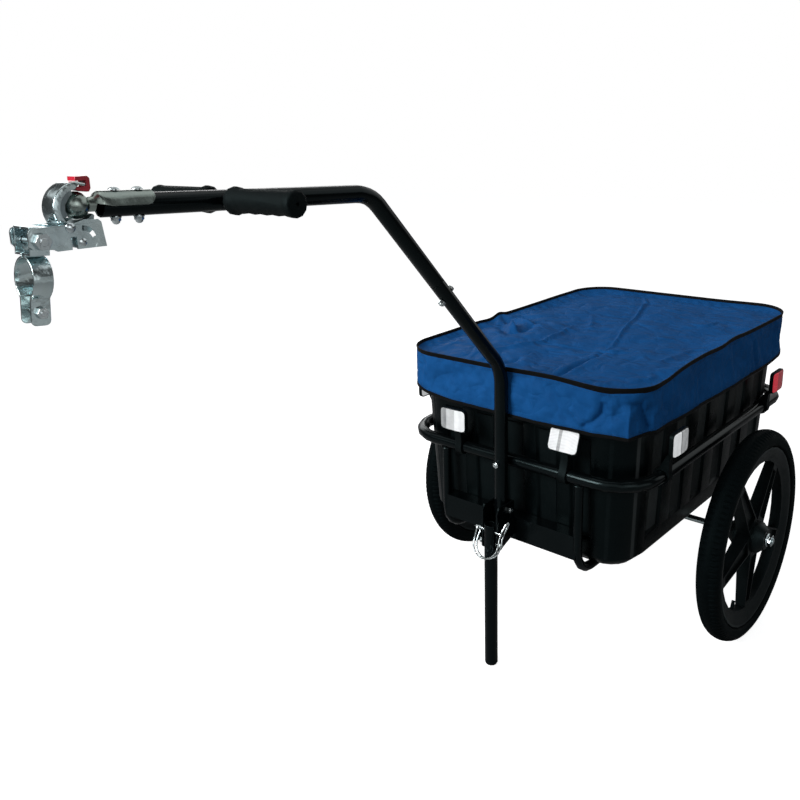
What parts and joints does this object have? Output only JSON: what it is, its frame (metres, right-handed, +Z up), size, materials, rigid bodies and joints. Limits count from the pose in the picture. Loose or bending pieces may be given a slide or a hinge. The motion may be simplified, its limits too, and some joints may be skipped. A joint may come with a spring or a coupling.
{
  "type": "bike cargo trailer",
  "caption": "Two-wheeled cargo trailer for a bicycle: covered moulded tub in a tube frame, swan-neck drawbar with grips, ball coupling, seat-post clamp and folding support leg.",
  "frame": {"origin": "on the ground at the centre of the support leg's foot, on the trailer's centre plane", "axes": "+Z up, +Y backwards away from the bicycle, +X to the trailer's left, parallel to the axle"},
  "size_m": [0.7022, 1.474, 0.9105],
  "materials": {
    "black_paint": "satin black powder coat",
    "black_plastic": "matte black moulding",
    "tub_plastic": "matte, lightly grained black moulding",
    "tyre_rubber": "matte black rubber",
    "inner_rubber": "smooth black rubber",
    "grip_rubber": "soft matte black rubber",
    "zinc_plate": "bright zinc plate",
    "dark_zinc": "dull zinc plate",
    "bright_steel": "bright steel",
    "red_plastic": "glossy red",
    "red_lens": "clear red lens",
    "white_lens": "clear white lens",
    "blue_fabric": "coated woven polyester, royal blue"
  },
  "bodies": {
    "trailer": {"ring_frame": "black_paint", "hoop_left": "black_paint", "hoop_right": "black_paint", "front_crossbar": "black_paint", "leg_bracket": "black_paint", "drawbar_lower": "black_paint", "drawbar_upper": "black_paint", "handle_stub_left": "black_paint", "handle_stub_right": "black_paint", "reflector_front_left_bracket": "black_plastic", "reflector_front_right_bracket": "black_plastic", "reflector_side_left_bracket": "black_plastic", "reflector_side_right_bracket": "black_plastic", "reflector_rear_left_bracket": "black_plastic", "reflector_rear_right_bracket": "black_plastic", "tub": "tub_plastic", "grip_left": "grip_rubber", "grip_right": "grip_rubber", "axle": "zinc_plate", "hitch_ball_plate": "zinc_plate", "axle_saddle_left": "dark_zinc", "axle_saddle_right": "dark_zinc", "axle_nut_left": "bright_steel", "axle_nut_right": "bright_steel", "ball_plate_bolt_front": "bright_steel", "ball_plate_bolt_rear": "bright_steel", "bracket_bolt": "bright_steel", "leg_pivot_bolt": "bright_steel", "drawbar_joint_bolt": "bright_steel", "drawbar_ring_bolt": "bright_steel", "reflector_rear_left": "red_lens", "reflector_rear_right": "red_lens", "reflector_front_left": "white_lens", "reflector_front_right": "white_lens", "reflector_side_left": "white_lens", "reflector_side_right": "white_lens"},
    "wheel_left": {"wheel_left": "black_plastic", "tyre_left": "tyre_rubber", "inner_tube_left": "inner_rubber", "hub_bush_left": "dark_zinc"},
    "wheel_right": {"wheel_right": "black_plastic", "tyre_right": "tyre_rubber", "inner_tube_right": "inner_rubber", "hub_bush_right": "dark_zinc"},
    "leg": {"support_leg": "black_paint", "leg_foot_cap": "black_plastic"},
    "pin": {"lock_pin": "bright_steel", "lock_pin_bail": "bright_steel"},
    "coupler": {"coupler_arm": "zinc_plate", "coupler_cup": "zinc_plate", "coupler_socket": "dark_zinc", "cup_rivet": "bright_steel", "jaw_rivet": "bright_steel", "safety_clip": "red_plastic", "clamp_hinge_bolt": "bright_steel"},
    "jaw": {"coupler_jaw": "dark_zinc"},
    "seat_post_clamp": {"clamp_half_left": "zinc_plate", "clamp_half_right": "zinc_plate", "clamp_pinch_bolt": "bright_steel"},
    "cover": {"cover": "blue_fabric"}
  },
  "joints": [
    {"name": "wheel_left_spin", "type": "hinge", "parent": "trailer", "child": "wheel_left", "pos_m": [0.3066, 0.39, 0.2], "axis": [1, 0, 0], "continuous": true},
    {"name": "wheel_right_spin", "type": "hinge", "parent": "trailer", "child": "wheel_right", "pos_m": [-0.3066, 0.39, 0.2], "axis": [1, 0, 0], "continuous": true},
    {"name": "leg_fold", "type": "hinge", "parent": "trailer", "child": "leg", "pos_m": [0, 0, 0.243], "axis": [1, 0, 0], "range_deg": [0, 62]},
    {"name": "lock_pin_turn", "type": "hinge", "parent": "leg", "child": "pin", "pos_m": [0, 0, 0.265], "axis": [-1, 0, 0], "range_deg": [0, 110]},
    {"name": "coupler_yaw", "type": "hinge", "parent": "trailer", "child": "coupler", "pos_m": [0, -0.673, 0.883], "axis": [0, 0, 1], "range_deg": [-35, 35]},
    {"name": "jaw_open", "type": "hinge", "parent": "coupler", "child": "jaw", "pos_m": [0, -0.6798, 0.8492], "axis": [-1, 0, 0], "range_deg": [0, 45]},
    {"name": "clamp_swing", "type": "hinge", "parent": "coupler", "child": "seat_post_clamp", "pos_m": [0, -0.72, 0.854], "axis": [-1, 0, 0], "range_deg": [-38, 85]},
    {"name": "cover_lift", "type": "slide", "parent": "trailer", "child": "cover", "axis": [0, 0, 1], "range_m": [0, 0.1]}
  ]
}
